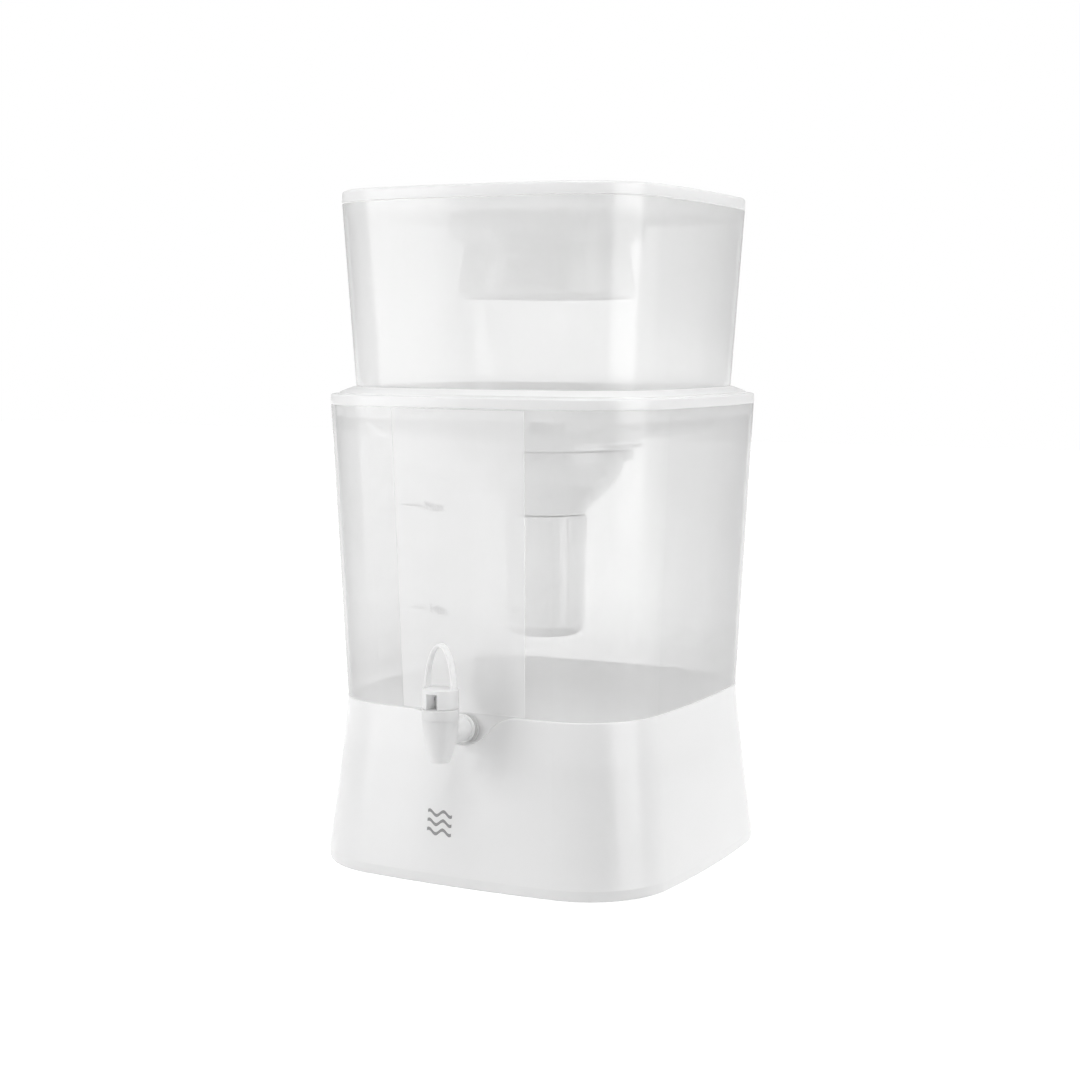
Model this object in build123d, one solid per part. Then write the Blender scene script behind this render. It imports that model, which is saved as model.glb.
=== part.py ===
from build123d import *
import os
from math import degrees, sqrt

# Gravity water filter: a stand, a lower tank with a lever tap, a collar, and an upper tank from whose
# floor a two-stage filter hangs into the lower tank. A fill tray with a prefilter closes its mouth.
# Millimetres, +Z up, front towards -Y. Everything is modelled about the tanks' axis and moved back by
# frame_shift, so that the origin is the bottom centre of the object's box.

# Shared clearances
cut_over = 2.0  # how far a cut runs past a face
seam = 0.3  # seam between stacked mouldings
slip = 0.3  # between pieces that lift, turn or drop in
running = 0.08  # radial, round the tap's pin and stem
bond = 0.1  # glue line

# Plan of the stand, tanks, collar and lid: a square with bowed sides and round corners
plan_corner_share = 0.474  # corner radius over half the width
plan_bow_share = 6.582  # side radius over half the width

# Stand
foot_drop = 1.5
base_height = 131.0
base_skirt_half = 147.6
base_skirt_height = 8.5
base_rim_inset = 0.6
base_flare = 12.9
base_flare_power = 1.22
base_flare_shares = (0, 0.3, 0.6, 0.85, 1)
base_wall = 2.6
base_rim_round = 2.0
base_edge_round = 0.9
shelf_depth = 36.0
shelf_thickness = 3.0
post_radius = 14.0
post_wall = 2.5
post_inset = 49.6
post_rib_thickness = 2.5
shelf_opening_inset = 6.0
base_rim_half = base_skirt_half - base_rim_inset
base_top_half = base_skirt_half - base_flare
base_skirt_z = foot_drop + base_skirt_height
shelf_z = base_height - shelf_depth
post_place = base_skirt_half - post_inset
shelf_opening_half = post_place - shelf_opening_inset

# Wave-shaped notch in the stand's front edge
notch_depth = 23.4
notch_radius = 27.0
notch_shoulder_radius = 29.0

# Feet
foot_radius = 13.0
foot_plug_height = 8.0
foot_hollow_share = 0.5

# Lower tank
tank_wall = 2.8
lower_wall_height = 226.7
lower_flare = 9.95
lower_shoulder_inset = 0.15
nest_clearance = 0.5
nest_draft = 1.2
lower_floor = 4.0
lower_floor_round = 6.0
lower_foot_round = 3.0
shoulder_rise = 5.6
lower_shoulder_z = base_height + seam
lower_shoulder_half = base_top_half - lower_shoulder_inset
lower_rim_half = lower_shoulder_half + lower_flare
lower_rim_z = lower_shoulder_z + lower_wall_height
nest_half = base_top_half - base_wall - nest_clearance
nest_foot_half = nest_half - nest_draft

# Frosted front panel, let into the lower tank's front
panel_top_half = 55.7
panel_foot_half = 52.0
panel_thickness = 0.8
panel_gap = 0.15
panel_margin = 1.0

# Upper tank
upper_foot_inset = 1.75
upper_flare = 8.5
upper_wall_height = 138.6
upper_ledge = 3.2
upper_nest_depth = 40.8
upper_nest_draft = 2.6
upper_floor = 3.0
upper_floor_round = 20.0
mouth_depth = 8.4
mouth_wall = 1.6

# Collar, the lower tank's cover
collar_lip = 0.15
collar_band = 8.0
collar_band_round = 1.5
collar_ledge = 5.8
collar_riser = 1.4
collar_ramp_rise = 4.1
collar_ramp_run = 9.2
collar_wall = 2.6
collar_skirt_depth = 9.0
collar_half = lower_rim_half + collar_lip
collar_step_half = collar_half - collar_ledge
collar_crest_half = collar_step_half - collar_ramp_run
collar_band_z = lower_rim_z + collar_band
collar_step_z = collar_band_z + collar_riser
collar_top_z = collar_step_z + collar_ramp_rise

upper_foot_half = collar_crest_half - upper_foot_inset
upper_rim_half = upper_foot_half + upper_flare
upper_shoulder_z = collar_top_z + seam
upper_rim_z = upper_shoulder_z + upper_wall_height
upper_nest_half = upper_foot_half - upper_ledge
upper_nest_foot_half = upper_nest_half - upper_nest_draft
upper_under_z = upper_shoulder_z - upper_nest_depth
upper_floor_z = upper_under_z + upper_floor
mouth_z = upper_rim_z - mouth_depth
collar_opening_half = upper_nest_half + nest_clearance

# Fill tray and the ring that holds the prefilter
tray_thickness = 2.2
tray_ring_wall = 2.6
tray_ring_depth = 15.8
tray_lip_thickness = 2.2
tray_top_z = mouth_z + tray_thickness
tray_ring_z = mouth_z - tray_ring_depth
tray_lip_z = tray_ring_z + tray_lip_thickness

# Prefilter cup, a drum held in the ring by four bayonet lugs
drum_neck_radius = 67.8
drum_groove_depth = 2.8
drum_spread = 2.8
drum_wall = 2.2
drum_depth = 46.2
drum_neck_depth = 4.7
drum_groove_height = 2.0
drum_round = 5.0
drum_crown = 2.0
lug_count = 4
lug_reach = 5.6
lug_clearance = 0.8
lug_thickness = 2.0
lug_angle = 24.0
lug_gap_angle = 30.0
lug_gap_turn = 45.0
drum_rib_width = 5.5
drum_rib_proud = 0.8
drum_rib_turn = -36.0
drum_slot_count = 16
drum_slot_width = 3.0
drum_slot_shares = (0.28, 0.78)
prefilter_pad_thickness = 12.0
drum_groove_radius = drum_neck_radius - drum_groove_depth
drum_radius = drum_neck_radius + drum_spread
tray_ring_radius = drum_neck_radius + lug_reach + lug_clearance + tray_ring_wall
drum_lug_z = tray_lip_z + bond
drum_top_z = drum_lug_z + lug_thickness
drum_neck_z = tray_ring_z - drum_neck_depth
drum_groove_z = drum_neck_z - drum_groove_height
drum_bottom_z = tray_ring_z - drum_depth
drum_floor_z = drum_bottom_z + drum_wall

# Lid
lid_lip = 0.2
lid_height = 9.3
lid_wall = 2.4
lid_round = 2.5
lid_skirt_wall = 1.8
lid_z = upper_rim_z + seam
lid_top_z = lid_z + lid_height

# Filter head, clamped under the upper tank's floor by its hollow stem and nut
stem_radius = 9.0
stem_bore_radius = 5.5
stem_rise = 11.0
head_gasket_thickness = 1.4
head_gasket_radius = 20.0
head_overhang = 7.0
head_height = 6.2
head_plate = 2.6
head_wall = 3.0
head_round = 1.2
head_thread_wall = 3.5
nut_radius = 16.0
nut_height = 8.0
head_top_z = upper_under_z - head_gasket_thickness
head_z = head_top_z - head_height
head_plate_z = head_top_z - head_plate

# Lock ring and bell
ring_overhang = 6.7
ring_wall = 3.2
ring_height = 9.6
ring_lip = 2.2
ring_round = 1.2
bell_flange = 2.5
bell_seal_thickness = 1.2
bell_top_radius = 62.8
bell_foot_radius = 32.5
bell_height = 44.7
bell_wall = 2.0
bell_shoulder_shares = (0.898, 0.667)  # of the radius and the height, from the foot up
bell_waist_shares = (0.558, 0.384)
bell_neck_radius = 20.0
bell_neck_wall = 3.0
bell_neck_depth = 13.0
mineral_depth_share = 0.7
bell_felt_thickness = 4.0
ring_radius = bell_top_radius + ring_overhang
head_radius = ring_radius + head_overhang
ring_top_z = head_z - slip
ring_z = ring_top_z - ring_height
ring_bore = ring_radius - ring_wall
bell_top_z = ring_z + ring_lip
bell_flange_z = bell_top_z + bell_flange
bell_z = bell_top_z - bell_height
bell_floor_z = bell_z + bell_wall
mineral_top_z = bell_floor_z + bell_height * mineral_depth_share

# Cartridge: ribbed cap screwed on the bell's neck, fluted cup below
cartridge_seal_thickness = 1.0
cartridge_seal_width = 5.0
cap_radius = 31.7
cap_height = 20.8
cap_plate = 2.6
cap_wall = 2.7
cap_thread_wall = 2.7
cap_thread_depth = 10.0
cap_spigot = 6.0
cap_round = 0.8
rib_count = 24
rib_radius = 0.9
flute_radius = 1.4
flute_depth = 0.6
cup_radius = 31.6
cup_height = 75.0
cup_wall = 2.6
cup_round = 10.0
cup_hole_radius = 1.8
cup_hole_count = 8
cup_hole_share = 0.4
felt_thickness = 4.0
cap_top_z = bell_z - cartridge_seal_thickness
cap_z = cap_top_z - cap_height
cup_top_z = cap_z - bond
cup_z = cup_top_z - cup_height
cup_bore = cup_radius - cup_wall
cup_floor_z = cup_z + cup_wall
cup_straight_z = cup_z + cup_round
spigot_radius = cup_bore - bond
spigot_z = cap_z - cap_spigot
bed_radius = cup_bore - slip

# Tap: upright body on a tube that passes through the lower tank's wall
tap_tube_length = 29.5
tap_drop = 10.7
spout_drop = 19.9
body_rise = 12.3
body_radius = 13.1
body_waist_shares = (0.8, 0.56)  # of the radius past the tip, and of the height
tip_radius = 6.9
tip_round = 1.0
outlet_radius = 4.6
chamber_radius = 9.2
seat_rise = 10.6
seat_height = 4.5
spigot_wall = 2.4
tap_spigot_height = 4.4
tube_radius = 9.5
flange_thickness = 2.8
shank_radius = 8.0
inlet_radius = 6.0
tap_gasket_thickness = 2.0
boss_radius = 12.2
boss_proud = 0.6
boss_inner = 2.2
tap_washer_thickness = 1.6
tap_washer_radius = 12.4
tap_nut_radius = 13.2
tap_nut_height = 8.0
shank_spare = 3.0
flange_radius = tap_drop - bond  # clears the tank's shoulder above the tube
tube_z = base_height - tap_drop
spout_z = tube_z - spout_drop
body_top_z = tube_z + body_rise
seat_z = spout_z + seat_rise
chamber_z = seat_z + seat_height
boss_front = nest_half + boss_proud
boss_back = nest_half - tank_wall - boss_inner
flange_front = boss_front + tap_gasket_thickness + flange_thickness
tap_reach = flange_front + tap_tube_length
nut_back = boss_back - tap_washer_thickness - tap_nut_height
shank_end = nut_back - shank_spare

# Tap bonnet, valve and lever
bonnet_radius = 13.7
bonnet_height = 7.8
bonnet_plate = 2.8
bonnet_round = 0.6
rod_radius = 4.0
rod_flange_radius = 7.4
rod_flange = 1.8
rod_tail_radius = 3.0
plug_height = 6.6
plug_radius = 7.4
plug_skirt = 2.2
spring_wire = 1.0
spring_radius = 6.0
spring_turns = 5
lever_gap = 0.4
lever_radius = 13.4
lever_foot_height = 14.4
lever_round = 0.8
lever_slot_width = 9.0
lever_slot_height = 11.6
pin_radius = 1.5
pin_rise = 6.3
pin_half = 9.0
pin_entry_share = 0.85  # width of the snap-in slot over the pin hole
loop_half = 12.6
loop_rise = 32.8
loop_drop = 5.2
loop_thickness = 2.3
loop_depth = 6.5
loop_round = 0.7
bonnet_top_z = body_top_z + bonnet_height
bonnet_plate_z = bonnet_top_z - bonnet_plate
lever_z = bonnet_top_z + lever_gap
lever_top_z = lever_z + lever_foot_height
pin_z = lever_z + pin_rise
plug_z = seat_z + slip
rod_flange_z = plug_z + plug_height
rod_seat_z = rod_flange_z + rod_flange

frame_shift = (tap_reach + bonnet_radius - base_skirt_half) / 2


# Shapes used by several pieces


def plan(half, inset=0):
    """Square of the given half-width with bowed sides and round corners, drawn in by inset all round."""
    corner = half * plan_corner_share
    side = half * plan_bow_share
    past = side - half
    middle = (sqrt(2 * (side - corner) ** 2 - past**2) - past) / 2
    reach = (corner - inset) / (side - corner)
    start = (middle + reach * middle, middle + reach * (middle + past))
    end = (start[1], start[0])
    tip = middle + (corner - inset) / sqrt(2)
    quarter = [
        ThreePointArc((-start[0], start[1]), (0, half - inset), start),
        ThreePointArc(start, (tip, tip), end),
    ]
    return make_face([Rot(0, 0, -90 * turn) * arc for turn in range(4) for arc in quarter])


def tapered(stations, inset=0, ruled=True):
    """Solid through the plans at the given (height, half-width) stations."""
    return loft([Pos(0, 0, z) * plan(half, inset) for z, half in stations], ruled=ruled)


def along(low, high, z):
    """Half-width at height z on the straight line between two stations."""
    return low[1] + (high[1] - low[1]) * (z - low[0]) / (high[0] - low[0])


def upright(radius, low, high):
    """Cylinder on the axis between two heights."""
    return Pos(0, 0, low) * Cylinder(radius, high - low, align=(Align.CENTER, Align.CENTER, Align.MIN))


def tube(outer, inner, low, high):
    """Upright tube on the axis between two heights."""
    return upright(outer, low, high) - upright(inner, low - cut_over, high + cut_over)


def turned(*outline, arc=360):
    """Solid turned about the axis from a closed outline of (radius, height) points."""
    return revolve(make_face(Plane.XZ * Polyline(*outline, close=True)), Axis.Z, arc)


def lying(radius, back, front, z):
    """Cylinder along Y between two distances in front of the axis."""
    lie = Pos(0, -back, z) * Rot(90, 0, 0)
    return lie * Cylinder(radius, front - back, align=(Align.CENTER, Align.CENTER, Align.MIN))


def at_height(shape, z):
    """Edges of a solid that lie wholly in the plane at height z."""
    return shape.edges().filter_by_position(Axis.Z, z, z)


def at_tap(shape):
    """Moves a piece from the axis to the tap's own upright axis."""
    return Pos(0, -tap_reach, 0) * shape


def save(name, shape):
    """Writes one piece, moved into the object's frame."""
    export_step(Pos(0, frame_shift, 0) * shape, f"parts/{name}.step")


# Stand and feet


def base_outline(inset, low, high):
    """The stand's flared outside, drawn in by inset, from height low up to height high."""
    flare = base_height - base_skirt_z
    widen = base_skirt_half - base_top_half
    stations = []
    for share in base_flare_shares:
        half = base_top_half + widen * (1 - share) ** base_flare_power
        stations.append((base_skirt_z + flare * share, half))
    body = tapered([(foot_drop, base_rim_half), stations[0]], inset)
    body += tapered(stations, inset, ruled=False)
    if low < foot_drop:
        body += tapered([(low, base_rim_half), (foot_drop, base_rim_half)], inset)
    if high > base_height:
        body += tapered([(base_height, base_top_half), (high, base_top_half)], inset)
    return body


def notch_cut():
    """Wave cut through the front wall: a bowl round the tap's tube, eased into the top edge on both sides."""
    bowl_z = base_height - notch_depth + notch_radius
    shoulder_z = base_height - notch_shoulder_radius
    reach = notch_radius + notch_shoulder_radius
    shoulder_x = sqrt(reach**2 - (bowl_z - shoulder_z) ** 2)
    share = notch_radius / reach
    turn_x = shoulder_x * share
    turn_z = bowl_z + (shoulder_z - bowl_z) * share
    bowl = ThreePointArc((-turn_x, turn_z), (0, bowl_z - notch_radius), (turn_x, turn_z))
    right = TangentArc((turn_x, turn_z), (shoulder_x, base_height), tangent=bowl % 1)
    left = mirror(right, Plane.YZ)
    top = Polyline(
        (shoulder_x, base_height),
        (shoulder_x, base_height + cut_over),
        (-shoulder_x, base_height + cut_over),
        (-shoulder_x, base_height),
    )
    return extrude(make_face(Plane.XZ * (bowl + right + left + top)), base_skirt_half)


def base_stand():
    outside = base_outline(0, foot_drop, base_height)
    outside = fillet(at_height(outside, foot_drop), base_rim_round)
    inside = base_outline(base_wall, foot_drop - cut_over, base_height + cut_over)
    shell = outside - inside
    shelf = tapered([(shelf_z - shelf_thickness, base_skirt_half), (shelf_z, base_skirt_half)])
    shelf_opening = (shelf_z - shelf_thickness - cut_over, shelf_opening_half)
    shelf -= tapered([shelf_opening, (shelf_z + cut_over, shelf_opening_half)])
    posts = Part()
    bores = Part()
    for spot in GridLocations(2 * post_place, 2 * post_place, 2, 2):
        posts += spot * upright(post_radius, foot_drop, shelf_z)
        bores += spot * upright(post_radius - post_wall, foot_drop - cut_over, shelf_z - shelf_thickness)
    rib_height = shelf_z - base_skirt_z
    rib = Pos(0, 0, base_skirt_z + rib_height / 2) * Box(base_skirt_half, post_rib_thickness, rib_height)
    for turn in range(4):
        posts += Rot(0, 0, 45 + 90 * turn) * Pos(sqrt(2) * post_place + base_skirt_half / 2, 0, 0) * rib
    stand = shell + ((shelf + posts) & outside) - bores - notch_cut()
    low_z = base_height - notch_depth - base_edge_round
    brim = stand.edges().filter_by_position(Axis.Z, low_z, base_height)
    return fillet(brim.filter_by(GeomType.BSPLINE), base_edge_round)


def foot():
    stud_radius = post_radius - post_wall - slip
    stud_z = foot_drop + foot_plug_height
    pad = upright(foot_radius, 0, foot_drop) + upright(stud_radius, foot_drop, stud_z)
    return pad - upright(stud_radius * foot_hollow_share, foot_drop, stud_z + cut_over)


# Lower tank and its front panel


def lower_wall(inset=0):
    """The part of the lower tank that shows, from its shoulder to its rim."""
    return tapered([(lower_shoulder_z, lower_shoulder_half), (lower_rim_z, lower_rim_half)], inset)


def panel_region(gap):
    """Wedge in front of the axis, with the panel's outline drawn in by gap."""
    low = lower_shoulder_z + panel_margin + gap
    high = lower_rim_z - panel_margin - gap
    foot_half = panel_foot_half - gap
    top_half = panel_top_half - gap
    outline = Polyline((-foot_half, low), (foot_half, low), (top_half, high), (-top_half, high), close=True)
    return extrude(make_face(Plane.XZ * outline), lower_rim_half + lower_shoulder_half)


def lower_tank():
    floor_z = shelf_z + lower_floor
    low = (lower_shoulder_z, lower_shoulder_half)
    rim = (lower_rim_z, lower_rim_half)
    nest = tapered([(shelf_z, nest_foot_half), (lower_shoulder_z, nest_half)])
    nest = fillet(at_height(nest, shelf_z), lower_foot_round)
    step_z = lower_shoulder_z + shoulder_rise
    over_z = lower_rim_z + cut_over
    cavity = tapered(
        [
            (floor_z, nest_foot_half),
            (lower_shoulder_z, nest_half),
            (step_z, along(low, rim, step_z)),
            (over_z, along(low, rim, over_z)),
        ],
        tank_wall,
    )
    cavity = fillet(at_height(cavity, floor_z), lower_floor_round)
    recess = panel_region(0) - lower_wall(panel_thickness + bond)
    boss = lying(boss_radius, boss_back, boss_front, tube_z)
    hole = lying(shank_radius + slip, boss_back - cut_over, boss_front + cut_over, tube_z)
    return nest + lower_wall() - cavity - recess + boss - hole


def front_panel():
    return panel_region(panel_gap) & (lower_wall() - lower_wall(panel_thickness))


# Collar and upper tank


def collar():
    band = tapered([(lower_rim_z, collar_half), (collar_band_z, collar_half)])
    band = fillet(at_height(band, collar_band_z), collar_band_round)
    riser = tapered([(lower_rim_z, collar_step_half), (collar_step_z, collar_step_half)])
    ramp = tapered([(collar_step_z, collar_step_half), (collar_top_z, collar_crest_half)])
    skirt_z = lower_rim_z - collar_skirt_depth
    skirt_half = along((lower_shoulder_z, lower_shoulder_half), (lower_rim_z, lower_rim_half), skirt_z)
    skirt_half -= tank_wall + nest_clearance
    skirt = tapered([(skirt_z, skirt_half), (lower_rim_z, skirt_half)])
    ceiling_z = collar_step_z - collar_wall
    hollow = tapered([(skirt_z - cut_over, skirt_half), (ceiling_z, skirt_half)], collar_wall)
    guide_half = collar_opening_half + collar_wall
    hollow -= tapered([(skirt_z - 2 * cut_over, guide_half), (ceiling_z + cut_over, guide_half)])
    low, high = skirt_z - cut_over, collar_top_z + cut_over
    opening = tapered([(low, collar_opening_half), (high, collar_opening_half)])
    return band + riser + ramp + skirt - hollow - opening


def upper_tank():
    foot_station = (upper_shoulder_z, upper_foot_half)
    rim = (upper_rim_z, upper_rim_half)
    nest = tapered([(upper_under_z, upper_nest_foot_half), (upper_shoulder_z, upper_nest_half)])
    nest = fillet(at_height(nest, upper_under_z), upper_floor_round)
    step_z = upper_shoulder_z + shoulder_rise
    over_z = upper_rim_z + cut_over
    cavity = tapered(
        [
            (upper_floor_z, upper_nest_foot_half),
            (upper_shoulder_z, upper_nest_half),
            (step_z, along(foot_station, rim, step_z)),
            (over_z, along(foot_station, rim, over_z)),
        ],
        tank_wall,
    )
    cavity = fillet(at_height(cavity, upper_floor_z), upper_floor_round - upper_floor)
    mouth_low = (mouth_z, along(foot_station, rim, mouth_z))
    mouth_high = (over_z, along(foot_station, rim, over_z))
    mouth = tapered([mouth_low, mouth_high], mouth_wall)
    hole = upright(stem_radius + slip, upper_under_z - cut_over, upper_floor_z + cut_over)
    return nest + tapered([foot_station, rim]) - cavity - mouth - hole


# Fill tray, prefilter and lid


def mouth_half():
    """Half-width of what drops into the upper tank's mouth."""
    wall_half = along((upper_shoulder_z, upper_foot_half), (upper_rim_z, upper_rim_half), mouth_z)
    return wall_half - mouth_wall - slip


def fill_tray():
    bore = tray_ring_radius - tray_ring_wall
    plate = tapered([(mouth_z, mouth_half()), (tray_top_z, mouth_half())])
    plate -= upright(bore, mouth_z - cut_over, tray_top_z + cut_over)
    ring = tube(tray_ring_radius, bore, tray_ring_z, mouth_z)
    lip_bore = drum_neck_radius + slip
    lip = tube(bore + tray_ring_wall / 2, lip_bore, tray_ring_z, tray_lip_z)
    gap_reach = drum_neck_radius + lug_reach + slip
    gap = turned(
        (drum_groove_radius, tray_ring_z - cut_over),
        (gap_reach, tray_ring_z - cut_over),
        (gap_reach, tray_lip_z + cut_over),
        (drum_groove_radius, tray_lip_z + cut_over),
        arc=lug_gap_angle,
    )
    for turn in range(lug_count):
        lip -= Rot(0, 0, lug_gap_turn - lug_gap_angle / 2 + turn * 360 / lug_count) * gap
    return plate + ring + lip


def prefilter_cup():
    drum = turned(
        (0, drum_top_z),
        (drum_neck_radius, drum_top_z),
        (drum_neck_radius, drum_neck_z),
        (drum_groove_radius, drum_groove_z),
        (drum_radius, drum_bottom_z),
        (0, drum_bottom_z - drum_crown),
    )
    drum = fillet(at_height(drum, drum_bottom_z), drum_round)
    drum -= turned(
        (0, drum_top_z + cut_over),
        (drum_neck_radius - drum_wall, drum_top_z + cut_over),
        (drum_neck_radius - drum_wall, drum_neck_z),
        (drum_groove_radius - drum_wall, drum_groove_z),
        (drum_radius - drum_wall, drum_floor_z + drum_round),
        (drum_radius - drum_round, drum_floor_z),
        (0, drum_floor_z),
    )
    lug = turned(
        (drum_neck_radius - drum_wall / 2, drum_lug_z),
        (drum_neck_radius + lug_reach, drum_lug_z),
        (drum_neck_radius + lug_reach, drum_top_z),
        (drum_neck_radius - drum_wall / 2, drum_top_z),
        arc=lug_angle,
    )
    rib_foot_z = drum_bottom_z + drum_round
    slope = (drum_radius - drum_groove_radius) / (drum_groove_z - drum_bottom_z)
    rib_foot_radius = drum_radius - slope * drum_round
    rib_angle = degrees(drum_rib_width / drum_radius)
    rib = turned(
        (rib_foot_radius - drum_wall / 2, rib_foot_z),
        (rib_foot_radius + drum_rib_proud, rib_foot_z),
        (drum_groove_radius + drum_rib_proud, drum_groove_z),
        (drum_groove_radius - drum_wall / 2, drum_groove_z),
        arc=rib_angle,
    )
    for turn in range(lug_count):
        drum += Rot(0, 0, turn * 360 / lug_count - lug_angle / 2) * lug
        drum += Rot(0, 0, drum_rib_turn - rib_angle / 2 + turn * 360 / lug_count) * rib
    inner, outer = (drum_radius * share for share in drum_slot_shares)
    slot_height = drum_wall + drum_crown + 2 * cut_over
    slot = Pos((inner + outer) / 2, 0, drum_floor_z) * Box(outer - inner, drum_slot_width, slot_height)
    for turn in range(drum_slot_count):
        drum -= Rot(0, 0, turn * 360 / drum_slot_count) * slot
    return drum


def prefilter_pad():
    return upright(drum_groove_radius - slip, drum_floor_z, drum_floor_z + prefilter_pad_thickness)


def lid():
    half = upper_rim_half + lid_lip
    plate_z = lid_top_z - lid_wall
    cap = tapered([(lid_z, half), (lid_top_z, half)])
    cap = fillet(at_height(cap, lid_top_z), lid_round)
    cap -= tapered([(lid_z - cut_over, half), (plate_z, half)], lid_wall)
    inner = mouth_half()
    skirt = tapered([(tray_top_z, inner), (plate_z, inner)])
    skirt -= tapered([(tray_top_z - cut_over, inner), (plate_z + cut_over, inner)], lid_skirt_wall)
    return cap + skirt


# Filter that hangs from the upper tank's floor


def filter_head():
    head = upright(head_radius, head_z, head_top_z)
    head = fillet(head.edges().filter_by(GeomType.CIRCLE), head_round)
    head -= upright(head_radius - head_wall, head_z - cut_over, head_plate_z)
    thread = ring_bore - slip
    seal_top_z = bell_flange_z + bell_seal_thickness
    head += tube(thread, thread - head_thread_wall, seal_top_z + slip, head_plate_z)
    head += upright(stem_radius, head_plate_z, upper_floor_z + stem_rise)
    return head - upright(stem_bore_radius, head_plate_z - cut_over, upper_floor_z + stem_rise + cut_over)


def filter_gasket():
    return tube(head_gasket_radius, stem_radius + slip, head_top_z, upper_under_z)


def hexagon_nut(radius, bore, low, high):
    """Upright hexagon nut on the axis."""
    nut = Pos(0, 0, low) * extrude(RegularPolygon(radius, 6), high - low)
    return nut - upright(bore, low - cut_over, high + cut_over)


def filter_nut():
    return hexagon_nut(nut_radius, stem_radius + bond, upper_floor_z, upper_floor_z + nut_height)


def bell_lock_ring():
    ring = upright(ring_radius, ring_z, ring_top_z)
    ring = fillet(ring.edges().filter_by(GeomType.CIRCLE), ring_round)
    ring -= upright(ring_bore, bell_top_z, ring_top_z + cut_over)
    return ring - upright(bell_top_radius + bond, ring_z - cut_over, bell_top_z + cut_over)


def bell_core(inset):
    """The bell's turned outside, moved in and up by inset, closed over the flange."""
    rise = bell_top_radius - bell_foot_radius

    def point(shares):
        return (bell_foot_radius + rise * shares[0] - inset, bell_z + bell_height * shares[1] + inset)

    shoulder = ThreePointArc(point((1, 1)), point(bell_shoulder_shares), point(bell_waist_shares))
    waist = TangentArc(point(bell_waist_shares), point((0, 0)), tangent=shoulder % 1)
    top_z = bell_flange_z + inset
    foot_z = bell_z + inset
    rest = Polyline(point((0, 0)), (0, foot_z), (0, top_z), (bell_top_radius - inset, top_z), point((1, 1)))
    return revolve(make_face(Plane.XZ * (shoulder + waist + rest)), Axis.Z)


def filter_bell():
    bell = bell_core(0) + upright(ring_bore - slip, bell_top_z, bell_flange_z)
    neck_z = bell_z - bell_neck_depth
    bell += upright(bell_neck_radius, neck_z, bell_floor_z)
    bore = upright(bell_neck_radius - bell_neck_wall, neck_z - cut_over, bell_floor_z + cut_over)
    return bell - bell_core(bell_wall) - bore


def bell_seal():
    outer = ring_bore - slip
    return tube(outer, outer - head_thread_wall, bell_flange_z, bell_flange_z + bell_seal_thickness)


def bell_slice(low, high):
    """What fills the bell between two heights."""
    return bell_core(bell_wall + bond) & upright(head_radius, low, high)


def mineral_bed():
    return bell_slice(bell_floor_z, mineral_top_z)


def bell_felt():
    return bell_slice(mineral_top_z, mineral_top_z + bell_felt_thickness)


def cartridge_seal():
    inner = bell_neck_radius + bond
    return tube(inner + cartridge_seal_width, inner, cap_top_z, bell_z)


def cartridge_cap():
    cap = upright(cap_radius, cap_z, cap_top_z)
    cap = fillet(at_height(cap, cap_top_z), cap_round)
    bore = bell_neck_radius + slip
    plate_z = cap_top_z - cap_plate
    cap -= upright(cap_radius - cap_wall, cap_z + cap_wall, plate_z)
    cap -= upright(bore, plate_z - cut_over, cap_top_z + cut_over)
    cap += tube(bore + cap_thread_wall, bore, plate_z - cap_thread_depth, plate_z)
    cap += upright(spigot_radius, spigot_z, cap_z)
    cap -= upright(spigot_radius - cap_wall, spigot_z - cut_over, cap_z + cap_wall)
    rib = upright(rib_radius, cap_z + rib_radius, cap_top_z - cap_round)
    return cap + [spot * rib for spot in PolarLocations(cap_radius, rib_count)]


def cartridge_cup():
    cup = upright(cup_radius, cup_z, cup_top_z)
    cup = fillet(at_height(cup, cup_z), cup_round)
    bore = upright(cup_bore, cup_floor_z, cup_top_z + cut_over)
    cup -= fillet(at_height(bore, cup_floor_z), cup_round - cup_wall)
    flute = upright(flute_radius, cup_straight_z, cup_top_z + cut_over)
    flute_place = cup_radius + flute_radius - flute_depth
    cup -= [spot * flute for spot in PolarLocations(flute_place, rib_count)]
    hole = upright(cup_hole_radius, cup_z - cut_over, cup_floor_z + cut_over)
    return cup - hole - [spot * hole for spot in PolarLocations(cup_bore * cup_hole_share, cup_hole_count)]


def felt_pad_lower():
    return upright(cup_radius - cup_round - slip, cup_floor_z, cup_straight_z)


def carbon_bed():
    return upright(bed_radius, cup_straight_z, spigot_z - felt_thickness)


def felt_pad_upper():
    return upright(bed_radius, spigot_z - felt_thickness, spigot_z)


# Tap


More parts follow.
